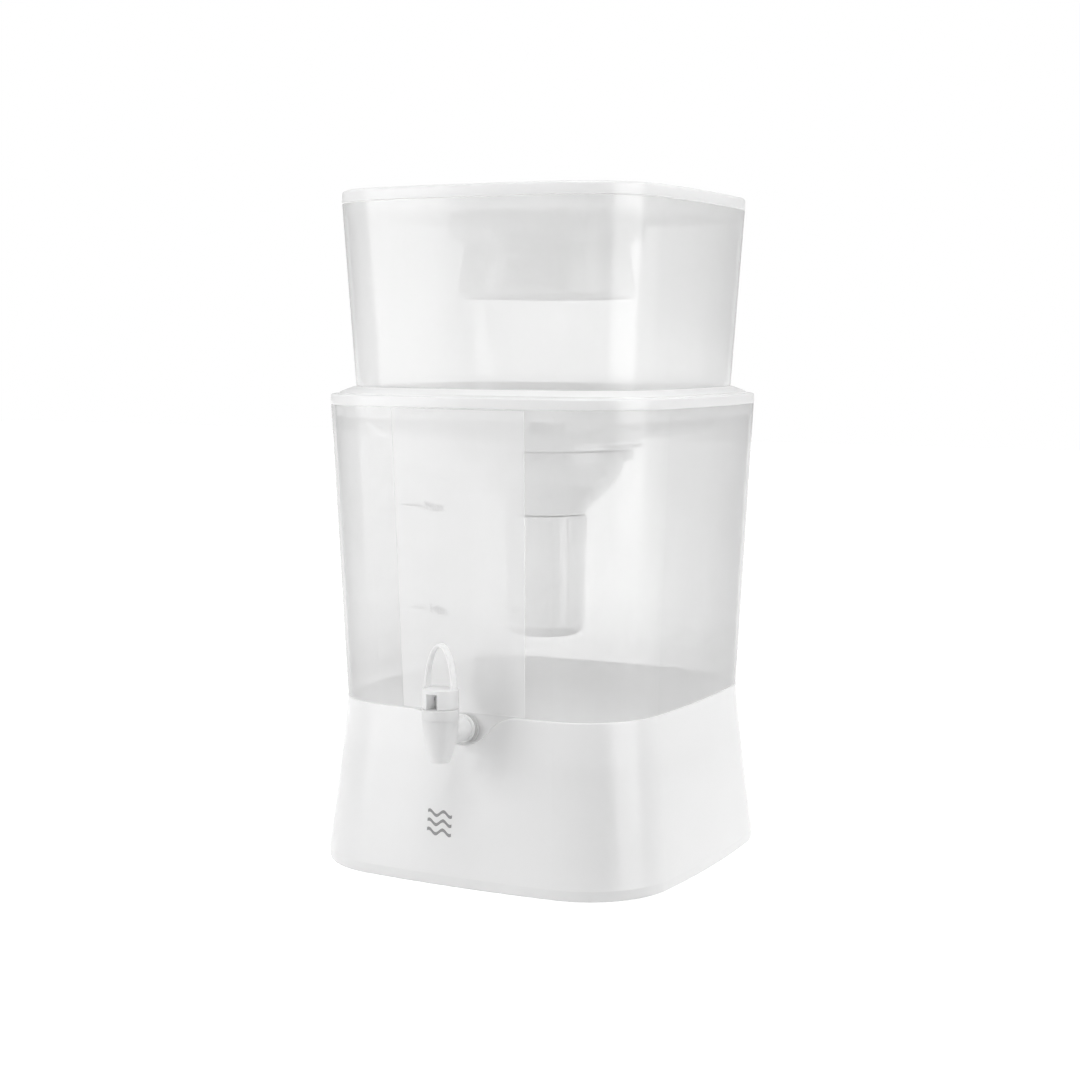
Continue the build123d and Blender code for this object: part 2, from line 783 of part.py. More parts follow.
def tap_body():
    height = body_top_z - spout_z
    widen = body_radius - tip_radius
    waist = (tip_radius + widen * body_waist_shares[0], spout_z + height * body_waist_shares[1])
    side = ThreePointArc((tip_radius, spout_z), waist, (body_radius, body_top_z))
    rest = Polyline((body_radius, body_top_z), (0, body_top_z), (0, spout_z), (tip_radius, spout_z))
    body = revolve(make_face(Plane.XZ * (side + rest)), Axis.Z)
    body = fillet(at_height(body, spout_z), tip_round)
    body += upright(chamber_radius + spigot_wall, body_top_z, body_top_z + tap_spigot_height)
    body = at_tap(body) + lying(tube_radius, flange_front, tap_reach, tube_z)
    body += lying(flange_radius, flange_front - flange_thickness, flange_front, tube_z)
    body += lying(shank_radius, shank_end, flange_front, tube_z)
    top_z = body_top_z + tap_spigot_height + cut_over
    chamber = turned(
        (0, spout_z - cut_over),
        (outlet_radius, spout_z - cut_over),
        (outlet_radius, seat_z),
        (chamber_radius, chamber_z),
        (chamber_radius, top_z),
        (0, top_z),
    )
    return body - at_tap(chamber) - lying(inlet_radius, shank_end - cut_over, tap_reach, tube_z)


def tap_bonnet():
    bonnet = upright(bonnet_radius, body_top_z, bonnet_top_z)
    bonnet = fillet(bonnet.edges().filter_by(GeomType.CIRCLE), bonnet_round)
    bonnet -= upright(chamber_radius + spigot_wall + bond, body_top_z - cut_over, bonnet_plate_z)
    return at_tap(bonnet - upright(rod_radius + running, bonnet_plate_z - cut_over, bonnet_top_z + cut_over))


def wall_ring(outer, inner, back, front):
    """Ring round the tap's tube between two distances in front of the axis."""
    return lying(outer, back, front, tube_z) - lying(inner, back - cut_over, front + cut_over, tube_z)


def tap_gasket():
    return wall_ring(flange_radius, shank_radius + bond, boss_front, boss_front + tap_gasket_thickness)


def tap_washer():
    return wall_ring(tap_washer_radius, shank_radius + bond, boss_back - tap_washer_thickness, boss_back)


def tap_nut():
    nut = hexagon_nut(tap_nut_radius, shank_radius + bond, nut_back, nut_back + tap_nut_height)
    return Pos(0, 0, tube_z) * Rot(90, 0, 0) * nut


def valve_stem():
    rod = upright(rod_radius, rod_flange_z, pin_z) + Pos(0, 0, pin_z) * Sphere(rod_radius)
    rod += upright(rod_flange_radius, rod_flange_z, rod_seat_z)
    rod += upright(rod_tail_radius, plug_z + plug_skirt, rod_flange_z)
    return at_tap(rod - Pos(0, 0, pin_z) * Rot(0, 90, 0) * Cylinder(pin_radius, 2 * pin_half))


def valve_plug():
    slope = (chamber_radius - outlet_radius) / seat_height
    skirt_z = rod_flange_z - plug_skirt
    tip = plug_radius - slope * (skirt_z - plug_z)
    plug = turned(
        (0, plug_z),
        (tip, plug_z),
        (plug_radius, skirt_z),
        (plug_radius, rod_flange_z),
        (0, rod_flange_z),
    )
    return at_tap(plug - upright(rod_tail_radius, plug_z + plug_skirt, rod_flange_z + cut_over))


def valve_spring():
    low = rod_seat_z + spring_wire / 2 + bond
    height = bonnet_plate_z - spring_wire / 2 - bond - low
    path = Helix(height / spring_turns, height, spring_radius)
    wire = sweep(Plane(path @ 0, z_dir=path % 0) * Circle(spring_wire / 2), path)
    return at_tap(Pos(0, 0, low) * wire)


def lever_pin():
    return at_tap(Pos(0, 0, pin_z) * Rot(0, 90, 0) * Cylinder(pin_radius, 2 * pin_half))


def tap_lever():
    lever = upright(lever_radius, lever_z, lever_top_z)
    lever = fillet(lever.edges().filter_by(GeomType.CIRCLE), lever_round)
    loop_z = lever_top_z - loop_drop
    loop_height = loop_rise + loop_drop
    strap = Ellipse(loop_half, loop_height)
    strap -= Ellipse(loop_half - loop_thickness, loop_height - loop_thickness)
    strap = Pos(0, 0, loop_z) * extrude(Plane.XZ * strap, loop_depth / 2, both=True)
    strap = fillet(strap.edges().filter_by(GeomType.ELLIPSE), loop_round)
    lever += strap & upright(lever_radius, loop_z, lever_top_z + loop_rise)
    slot_back = lever_slot_width / 2
    slot_front = lever_radius + cut_over
    slot = Pos(0, -slot_front / 2, lever_z - cut_over + (lever_slot_height + cut_over) / 2) * Box(
        lever_slot_width, slot_front, lever_slot_height + cut_over
    )
    lever -= slot + upright(slot_back, lever_z - cut_over, lever_z + lever_slot_height)
    hole_radius = pin_radius + running
    hole_half = pin_half + slip
    hole = Pos(0, 0, pin_z) * Rot(0, 90, 0) * Cylinder(hole_radius, 2 * hole_half)
    entry_height = pin_rise + cut_over
    entry = Box(2 * hole_half, 2 * hole_radius * pin_entry_share, entry_height)
    return at_tap(lever - hole - Pos(0, 0, pin_z - entry_height / 2) * entry)


os.makedirs("parts", exist_ok=True)

feet = {
    "foot_front_left": (-post_place, -post_place),
    "foot_front_right": (post_place, -post_place),
    "foot_rear_left": (-post_place, post_place),
    "foot_rear_right": (post_place, post_place),
}
for name, (x, y) in feet.items():
    save(name, Pos(x, y, 0) * foot())

pieces = [
    base_stand,
    lower_tank,
    front_panel,
    collar,
    upper_tank,
    fill_tray,
    prefilter_cup,
    prefilter_pad,
    lid,
    filter_head,
    filter_gasket,
    filter_nut,
    bell_lock_ring,
    filter_bell,
    bell_seal,
    mineral_bed,
    bell_felt,
    cartridge_seal,
    cartridge_cap,
    cartridge_cup,
    felt_pad_lower,
    carbon_bed,
    felt_pad_upper,
    tap_body,
    tap_bonnet,
    tap_gasket,
    tap_washer,
    tap_nut,
    valve_stem,
    valve_plug,
    valve_spring,
    lever_pin,
    tap_lever,
]
for piece in pieces:
    save(piece.__name__, piece())
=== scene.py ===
import math

import bmesh
import bpy
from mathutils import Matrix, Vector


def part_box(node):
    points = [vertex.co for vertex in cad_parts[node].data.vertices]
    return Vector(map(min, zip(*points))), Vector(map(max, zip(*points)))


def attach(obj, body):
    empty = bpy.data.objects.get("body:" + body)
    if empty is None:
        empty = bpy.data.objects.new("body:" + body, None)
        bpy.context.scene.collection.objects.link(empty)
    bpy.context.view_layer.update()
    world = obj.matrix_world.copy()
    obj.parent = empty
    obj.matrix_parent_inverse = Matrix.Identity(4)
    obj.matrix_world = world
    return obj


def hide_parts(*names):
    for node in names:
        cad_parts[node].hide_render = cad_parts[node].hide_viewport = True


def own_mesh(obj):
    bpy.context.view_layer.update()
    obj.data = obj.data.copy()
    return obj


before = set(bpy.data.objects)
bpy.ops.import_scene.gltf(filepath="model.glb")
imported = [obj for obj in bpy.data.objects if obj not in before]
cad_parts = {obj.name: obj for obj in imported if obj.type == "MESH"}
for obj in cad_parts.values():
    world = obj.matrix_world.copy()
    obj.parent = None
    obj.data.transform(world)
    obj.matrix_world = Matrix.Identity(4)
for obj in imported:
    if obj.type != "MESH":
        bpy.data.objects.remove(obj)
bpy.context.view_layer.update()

# Stand and feet
# The stand is one satin white moulding with flared, hollow walls, a shelf inside for the lower tank and a
# wave-shaped notch in its front edge for the tap. Four rubber feet are pushed into posts under the shelf.


def feed(tree, socket, value):
    """Gives an input a value, or links it where the value is another node's socket."""
    if isinstance(value, bpy.types.NodeSocket):
        tree.links.new(value, socket)
    else:
        socket.default_value = value


def add_node(tree, kind, settings=None, **inputs):
    """Adds a node, sets its plain settings, feeds its inputs by name and returns it."""
    node = tree.nodes.new(kind)
    for setting, value in (settings or {}).items():
        setattr(node, setting, value)
    for name, value in inputs.items():
        feed(tree, node.inputs[name.replace("_", " ")], value)
    return node


def calc(tree, operation, *terms):
    """Adds a Math node and returns its result. A term is a number or another node's socket."""
    node = add_node(tree, "ShaderNodeMath", {"operation": operation})
    for socket, term in zip(node.inputs, terms):
        feed(tree, socket, term)
    return node.outputs[0]


def scaled(tree, vector, factor):
    """Adds a node that scales a vector or a colour, and returns its result."""
    node = add_node(tree, "ShaderNodeVectorMath", {"operation": "SCALE"}, Vector=vector, Scale=factor)
    return node.outputs[0]


def new_group(name, kind, takes, gives):
    """Makes an empty node group with the named inputs and outputs. Returns it with both rows of sockets."""
    group = bpy.data.node_groups.new(name, kind)
    for title, socket_kind, value in takes:
        socket = group.interface.new_socket(title, in_out="INPUT", socket_type=socket_kind)
        if value is not None:
            socket.default_value = value
    for title, socket_kind in gives:
        group.interface.new_socket(title, in_out="OUTPUT", socket_type=socket_kind)
    return group, group.nodes.new("NodeGroupInput").outputs, group.nodes.new("NodeGroupOutput").inputs


def make_moulded_skin():
    """Clouded colour, uneven gloss and the fine grain that a mould leaves on plastic."""
    takes = [
        ("Colour", "NodeSocketColor", (0.8, 0.8, 0.8, 1)),
        ("Cloud depth", "NodeSocketFloat", 0.03),
        ("Cloud scale", "NodeSocketFloat", 14.0),
        ("Gloss", "NodeSocketFloat", 0.35),
        ("Gloss spread", "NodeSocketFloat", 0.08),
        ("Grain scale", "NodeSocketFloat", 900.0),
    ]
    gives = [("Colour", "NodeSocketColor"), ("Roughness", "NodeSocketFloat"), ("Grain", "NodeSocketFloat")]
    group, given, out = new_group("moulded_skin", "ShaderNodeTree", takes, gives)
    place = group.nodes.new("ShaderNodeTexCoord").outputs["Object"]
    clouds = add_node(
        group, "ShaderNodeTexNoise", Vector=place, Scale=given["Cloud scale"], Detail=3.0, Roughness=0.5
    )
    smears = add_node(group, "ShaderNodeTexNoise", Vector=place, Scale=38.0, Detail=4.0)
    grain = add_node(group, "ShaderNodeTexNoise", Vector=place, Scale=given["Grain scale"], Detail=2.0)
    depth = calc(group, "MULTIPLY", clouds.outputs["Fac"], given["Cloud depth"])
    feed(group, out["Colour"], scaled(group, given["Colour"], calc(group, "SUBTRACT", 1.0, depth)))
    gloss = (smears.outputs["Fac"], given["Gloss spread"], given["Gloss"])
    feed(group, out["Roughness"], calc(group, "MULTIPLY_ADD", *gloss))
    feed(group, out["Grain"], grain.outputs["Fac"])
    return group


moulded_skin = make_moulded_skin()


def moulded(name, colour, dent, **skin):
    """Material of one moulded stuff, with the skin group for its colour, gloss and grain."""
    material = bpy.data.materials.new(name)
    material.use_nodes = True
    tree = material.node_tree
    shader = tree.nodes["Principled BSDF"]
    finish = add_node(tree, "ShaderNodeGroup", {"node_tree": moulded_skin}, Colour=(*colour, 1))
    for title, value in skin.items():
        finish.inputs[title.replace("_", " ").capitalize()].default_value = value
    feed(tree, shader.inputs["Base Color"], finish.outputs["Colour"])
    feed(tree, shader.inputs["Roughness"], finish.outputs["Roughness"])
    dents = add_node(tree, "ShaderNodeBump", Strength=0.25, Distance=dent, Height=finish.outputs["Grain"])
    feed(tree, shader.inputs["Normal"], dents.outputs["Normal"])
    return material


def let_through(material, share, colour=(0.9, 0.9, 0.9)):
    """Lets a share of the light through the thin walls of a moulding."""
    tree = material.node_tree
    lit = add_node(tree, "ShaderNodeBsdfTranslucent", Color=(*colour, 1))
    wall = add_node(tree, "ShaderNodeMixShader", Fac=share)
    feed(tree, wall.inputs[1], tree.nodes["Principled BSDF"].outputs[0])
    feed(tree, wall.inputs[2], lit.outputs[0])
    feed(tree, tree.nodes["Material Output"].inputs["Surface"], wall.outputs[0])


def dress(material, *nodes):
    """Gives the named CAD nodes a material."""
    for name in nodes:
        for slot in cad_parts[name].material_slots:
            slot.material = material


white_plastic = moulded("white_plastic", (0.94, 0.94, 0.94), dent=0.00002, gloss=0.2, gloss_spread=0.08)
let_through(white_plastic, share=0.27)
foot_rubber = moulded(
    "foot_rubber", (0.1, 0.1, 0.105), dent=0.0001, gloss=0.7, cloud_depth=0.25, grain_scale=600.0
)
dress(white_plastic, "base_stand")
dress(foot_rubber, "foot_front_left", "foot_front_right", "foot_rear_left", "foot_rear_right")

# Water sign
# Three short wavy lines on the front of the stand, under the tap. They are pad-printed in grey ink, as a thin
# film that follows the stand's wall.

ink_film = 0.00008


def split(tree, vector):
    """Adds a node that takes a vector apart, and returns its X, Y and Z."""
    return add_node(tree, "ShaderNodeSeparateXYZ", Vector=vector).outputs


def finish_tree(tree, out, geometry, stuff):
    """Ends a Geometry Nodes tree: copies are made real, and all of it gets one material."""
    real = add_node(tree, "GeometryNodeRealizeInstances", Geometry=geometry)
    covered = add_node(tree, "GeometryNodeSetMaterial", Geometry=real.outputs[0], Material=stuff)
    feed(tree, out[0], covered.outputs[0])
    return tree


def make_wave_lines():
    """Geometry Nodes: flat wavy ribbons, one above the other."""
    takes = [
        ("Lines", "NodeSocketInt", 3),
        ("Length", "NodeSocketFloat", 0.02),
        ("Stroke", "NodeSocketFloat", 0.002),
        ("Swing", "NodeSocketFloat", 0.0015),
        ("Waves", "NodeSocketFloat", 2.0),
        ("Line gap", "NodeSocketFloat", 0.006),
        ("Ink", "NodeSocketMaterial", None),
    ]
    tree, given, out = new_group("wave_lines", "GeometryNodeTree", takes, [("Lines", "NodeSocketGeometry")])
    ribbon = add_node(
        tree,
        "GeometryNodeMeshGrid",
        Size_X=given["Length"],
        Size_Y=given["Stroke"],
        Vertices_X=49,
        Vertices_Y=3,
    )
    place = split(tree, tree.nodes.new("GeometryNodeInputPosition").outputs[0])
    turns = calc(tree, "DIVIDE", place["X"], given["Length"])
    turns = calc(tree, "MULTIPLY", calc(tree, "MULTIPLY", turns, given["Waves"]), 2 * math.pi)
    swing = calc(tree, "MULTIPLY", calc(tree, "SINE", turns), given["Swing"])
    upright = add_node(tree, "ShaderNodeCombineXYZ", X=place["X"], Z=calc(tree, "ADD", place["Y"], swing))
    wave = add_node(
        tree, "GeometryNodeSetPosition", Geometry=ribbon.outputs["Mesh"], Position=upright.outputs[0]
    )
    step = add_node(tree, "ShaderNodeCombineXYZ", Z=given["Line gap"])
    rows = add_node(tree, "GeometryNodeMeshLine", Count=given["Lines"], Offset=step.outputs[0])
    copies = add_node(
        tree, "GeometryNodeInstanceOnPoints", Points=rows.outputs["Mesh"], Instance=wave.outputs[0]
    )
    return finish_tree(tree, out, copies.outputs[0], given["Ink"])


def add_object(name, data):
    """Adds an object with this mesh, text, lamp or camera to the scene, and returns it."""
    thing = bpy.data.objects.new(name, data)
    bpy.context.scene.collection.objects.link(thing)
    return thing


def grow(name, tree, sizes, mesh=None):
    """Runs a mesh, or an empty one, through a Geometry Nodes tree, and keeps the plain result."""
    piece = add_object(name, mesh or bpy.data.meshes.new(name))
    modifier = piece.modifiers.new(name, "NODES")
    modifier.node_group = tree
    for socket in tree.interface.items_tree:
        if socket.in_out == "INPUT" and socket.name in sizes:
            modifier[socket.identifier] = sizes[socket.name]
    made = piece.evaluated_get(bpy.context.evaluated_depsgraph_get())
    piece.data = bpy.data.meshes.new_from_object(made)
    piece.modifiers.clear()
    return piece


def print_on(piece, node, right, up):
    """Moves a flat print, drawn in X and Z, onto the front of a CAD node, as a film of ink."""
    bpy.context.view_layer.update()
    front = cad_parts[node]
    far_in_front, backwards = -1, (0, 1, 0)
    for vertex in piece.data.vertices:
        x, z = vertex.co.x + right, vertex.co.z + up
        spot = front.ray_cast((x, far_in_front, z), backwards)[1]
        vertex.co = (x, spot.y - ink_film, z)


grey_ink = moulded("grey_ink", (0.3, 0.3, 0.3), dent=0.00001, gloss=0.42, cloud_depth=0.12, cloud_scale=90.0)
sign_sizes = {
    "Lines": 3,
    "Length": 0.021,
    "Stroke": 0.0024,
    "Swing": 0.0017,
    "Waves": 1.75,
    "Line gap": 0.0068,
    "Ink": grey_ink,
}
water_sign = grow("water_sign", make_wave_lines(), sign_sizes)
print_on(water_sign, "base_stand", right=-0.0150, up=0.0415)
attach(water_sign, "base")

# Lower tank and its front panel
# The tank is moulded in milky clear plastic, milkier towards its foot, and nests in the stand. A sheet with
# a finely frosted face is bonded flush into its front, and hides the filter behind it.

streak_depth, streak_scale = 0.02, (60.0, 60.0, 3.0)
plain_wall_z, milky_foot_z = 0.21, 0.13
inside_stand_z, clear_of_stand_z = 0.122, 0.134


def ramp(tree, value, low, high, **ends):
    """Adds a node that goes smoothly from 0 to 1, or other ends, as the value goes from low to high."""
    smooth = {"interpolation_type": "SMOOTHSTEP"}
    node = add_node(tree, "ShaderNodeMapRange", smooth, Value=value, From_Min=low, From_Max=high, **ends)
    return node.outputs[0]


def clear(name, colour, milk, edge_milk, veil, glow, edge_shade, foot_milk=0.0, ior=None, **skin):
    """Milky clear plastic.

    Its milk is in the face that light enters by. A wall that is seen edge-on lets less through, and so does
    a milkier foot. For light on its way to other pieces the wall is a thin veil, and some of that light glows
    on the far side. The colour of an upright wall above the stand is darkened where it is seen edge-on, as
    painted edge shade.
    """
    material = moulded(name, colour, dent=0.00001, **skin)
    tree = material.node_tree
    shader = tree.nodes["Principled BSDF"]
    if ior:
        shader.inputs["IOR"].default_value = ior
    lean = add_node(tree, "ShaderNodeLayerWeight", Blend=0.3).outputs["Facing"]
    place = tree.nodes.new("ShaderNodeTexCoord").outputs["Object"]
    height = split(tree, place)["Z"]
    drawn = add_node(tree, "ShaderNodeMapping", Vector=place, Scale=streak_scale)
    streaks = add_node(tree, "ShaderNodeTexNoise", Vector=drawn.outputs[0], Scale=1.0, Detail=3.0)
    density = calc(tree, "MULTIPLY_ADD", lean, edge_milk - milk, milk - streak_depth / 2)
    density = calc(tree, "MULTIPLY_ADD", streaks.outputs["Fac"], streak_depth, density)
    if foot_milk:
        foot = ramp(tree, height, plain_wall_z, milky_foot_z)
        density = calc(tree, "MINIMUM", calc(tree, "MULTIPLY_ADD", foot, foot_milk, density), 1.0)
    watched = tree.nodes.new("ShaderNodeLightPath").outputs["Is Camera Ray"]
    alpha = calc(tree, "MULTIPLY_ADD", watched, calc(tree, "SUBTRACT", density, veil), veil)
    face = tree.nodes.new("ShaderNodeNewGeometry").outputs
    entered = calc(tree, "SUBTRACT", 1.0, face["Backfacing"])
    feed(tree, shader.inputs["Alpha"], calc(tree, "MULTIPLY", alpha, entered))
    # Painted edge shade: an upright wall above the stand gets a darker colour where it is seen edge-on.
    upright = calc(tree, "SUBTRACT", 1.0, calc(tree, "ABSOLUTE", split(tree, face["Normal"])["Z"]))
    free = ramp(tree, height, inside_stand_z, clear_of_stand_z)
    side_on = calc(tree, "MULTIPLY", calc(tree, "MULTIPLY", lean, upright), free)
    painted_edge_shade = calc(tree, "MULTIPLY_ADD", side_on, -edge_shade, 1.0)
    paint = shader.inputs["Base Color"]
    feed(tree, paint, scaled(tree, paint.links[0].from_socket, painted_edge_shade))
    let_through(material, calc(tree, "MULTIPLY", entered, glow), colour)
    return material


tank_plastic = clear(
    "tank_plastic",
    (0.92, 0.92, 0.92),
    milk=0.39,
    edge_milk=1.0,
    veil=0.06,
    glow=0.08,
    edge_shade=1.0,
    foot_milk=0.22,
    ior=1.45,
    gloss=0.15,
    gloss_spread=0.06,
    cloud_depth=0.04,
)
panel_plastic = clear(
    "panel_plastic",
    (0.93, 0.93, 0.93),
    milk=0.66,
    edge_milk=0.9,
    veil=0.15,
    glow=0.1,
    edge_shade=0.1,
    gloss=0.42,
    gloss_spread=0.06,
    grain_scale=2500.0,
)
dress(tank_plastic, "lower_tank")
dress(panel_plastic, "front_panel")

# Level marks
# Two short lines at the highest and the lowest water level, with Max and Min beside them in small letters.
# They are printed on the front panel in pale grey ink.

letter_height = 0.0099
line_thickness, line_steps = 0.0008, 8
word_gap, word_drop = 0.0034, 0.0031
pale_ink = moulded("pale_ink", (0.7, 0.7, 0.7), dent=0.00001, gloss=0.45, cloud_depth=0.1, cloud_scale=120.0)


def letters(text):
    """Flat mesh of a short word, standing in X and Z with its foot at the origin."""
    line = bpy.data.curves.new(text, "FONT")
    line.body = text
    line.size = letter_height
    word = add_object(text, line)
    flat = bpy.data.meshes.new_from_object(word.evaluated_get(bpy.context.evaluated_depsgraph_get()))
    bpy.data.objects.remove(word)
    bpy.data.curves.remove(line)
    for vertex in flat.vertices:
        vertex.co = (vertex.co.x, 0, vertex.co.y)
    return flat


def level_mark(word, right, up, length):
    """Line and word at one height on the front panel."""
    mark = bmesh.new()
    mark.from_mesh(letters(word))
    bmesh.ops.translate(mark, verts=mark.verts, vec=(length + word_gap, 0, -word_drop))
    lower, upper = (
        [mark.verts.new((length * i / line_steps, 0, z)) for i in range(line_steps + 1)]
        for z in (0, line_thickness)
    )
    for i in range(line_steps):
        mark.faces.new((lower[i], lower[i + 1], upper[i + 1], upper[i]))
    mesh = bpy.data.meshes.new(word.lower() + "_mark")
    mark.to_mesh(mesh)
    mark.free()
    mesh.materials.append(pale_ink)
    piece = add_object(mesh.name, mesh)
    print_on(piece, "front_panel", right, up)
    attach(piece, "lower_tank")


level_mark("Max", right=-0.0468, up=0.285, length=0.0149)
level_mark("Min", right=-0.0405, up=0.208, length=0.0108)

# Tap
# White moulded body, bonnet and lever. Tilting the lever lifts a stem with a rubber plug off its seat, and
# the drawn steel spring above it shortens. A gasket, washer and nut hold the body's shank in the tank's wall.

tap_plastic = moulded("tap_plastic", (0.93, 0.93, 0.93), dent=0.00002, gloss=0.26, gloss_spread=0.08)
seal_rubber = moulded(
    "seal_rubber", (0.84, 0.84, 0.83), dent=0.00005, gloss=0.55, cloud_depth=0.08, grain_scale=700.0
)
steel_wire = moulded(
    "steel_wire", (0.56, 0.56, 0.57), dent=0.00001, gloss=0.22, cloud_depth=0.15, cloud_scale=160.0
)
steel_wire.node_tree.nodes["Principled BSDF"].inputs["Metallic"].default_value = 1.0
gasket_silicone = clear(
    "gasket_silicone",
    (0.94, 0.94, 0.93),
    milk=0.3,
    edge_milk=0.5,
    veil=0.05,
    glow=0.3,
    edge_shade=0.0,
    gloss=0.4,
    cloud_depth=0.06,
)
let_through(tap_plastic, share=0.3)
let_through(seal_rubber, share=0.4)
dress(tap_plastic, "tap_body", "tap_bonnet", "tap_lever", "tap_nut", "valve_stem")
dress(gasket_silicone, "tap_gasket")
dress(seal_rubber, "tap_washer", "valve_plug")
dress(steel_wire, "lever_pin")


def stand_for(piece, body, node):
    """The piece takes a CAD node's place on its body."""
    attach(piece, body)
    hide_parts(node)


def make_coil_spring():
    """Geometry Nodes: an upright coil of round wire, whose end turns lie flat."""
    takes = [
        ("Coil radius", "NodeSocketFloat", 0.006),
        ("Wire radius", "NodeSocketFloat", 0.0005),
        ("Turns", "NodeSocketFloat", 6.4),
        ("Flat share", "NodeSocketFloat", 0.11),
        ("Height", "NodeSocketFloat", 0.014),
        ("Foot", "NodeSocketVector", (0, 0, 0)),
        ("Stuff", "NodeSocketMaterial", None),
    ]
    tree, given, out = new_group("coil_spring", "GeometryNodeTree", takes, [("Spring", "NodeSocketGeometry")])
    coil = add_node(
        tree,
        "GeometryNodeCurveSpiral",
        Resolution=40,
        Rotations=given["Turns"],
        Start_Radius=given["Coil radius"],
        End_Radius=given["Coil radius"],
        Height=given["Height"],
    )
    rise = add_node(
        tree,
        "ShaderNodeMapRange",
        Value=tree.nodes.new("GeometryNodeSplineParameter").outputs["Factor"],
        From_Min=given["Flat share"],
        From_Max=calc(tree, "SUBTRACT", 1.0, given["Flat share"]),
        To_Max=given["Height"],
    )
    place = split(tree, tree.nodes.new("GeometryNodeInputPosition").outputs[0])
    spot = add_node(tree, "ShaderNodeCombineXYZ", X=place["X"], Y=place["Y"], Z=rise.outputs[0])
    wound = add_node(
        tree,
        "GeometryNodeSetPosition",
        Geometry=coil.outputs[0],
        Position=spot.outputs[0],
        Offset=given["Foot"],
    )
    section = add_node(tree, "GeometryNodeCurvePrimitiveCircle", Resolution=10, Radius=given["Wire radius"])
    wire = add_node(
        tree,
        "GeometryNodeCurveToMesh",
        Curve=wound.outputs[0],
        Profile_Curve=section.outputs[0],
        Fill_Caps=True,
    )
    smooth = add_node(tree, "GeometryNodeSetShadeSmooth", Geometry=wire.outputs[0])
    return finish_tree(tree, out, smooth.outputs[0], given["Stuff"])


wire_radius, valve_travel = 0.0005, 0.0062
spring_low, spring_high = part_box("valve_spring")
spring_length = spring_high.z - spring_low.z
spring_axis = (spring_low + spring_high) / 2
spring_sizes = {
    "Coil radius": (spring_high.x - spring_low.x) / 2 - wire_radius,
    "Wire radius": wire_radius,
    "Height": spring_length - 2 * wire_radius,
    "Foot": (spring_axis.x, spring_axis.y, spring_low.z + wire_radius),
    "Stuff": steel_wire,
}
valve_spring = grow("valve_spring_coil", make_coil_spring(), spring_sizes)
stand_for(valve_spring, "lower_tank", "valve_spring")
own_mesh(valve_spring)

# Collar
# White cover of the lower tank, moulded in one piece: a skirt that plugs into the tank's mouth, a band flush
# with its walls, and a ramp up to the opening that takes the upper tank's foot.


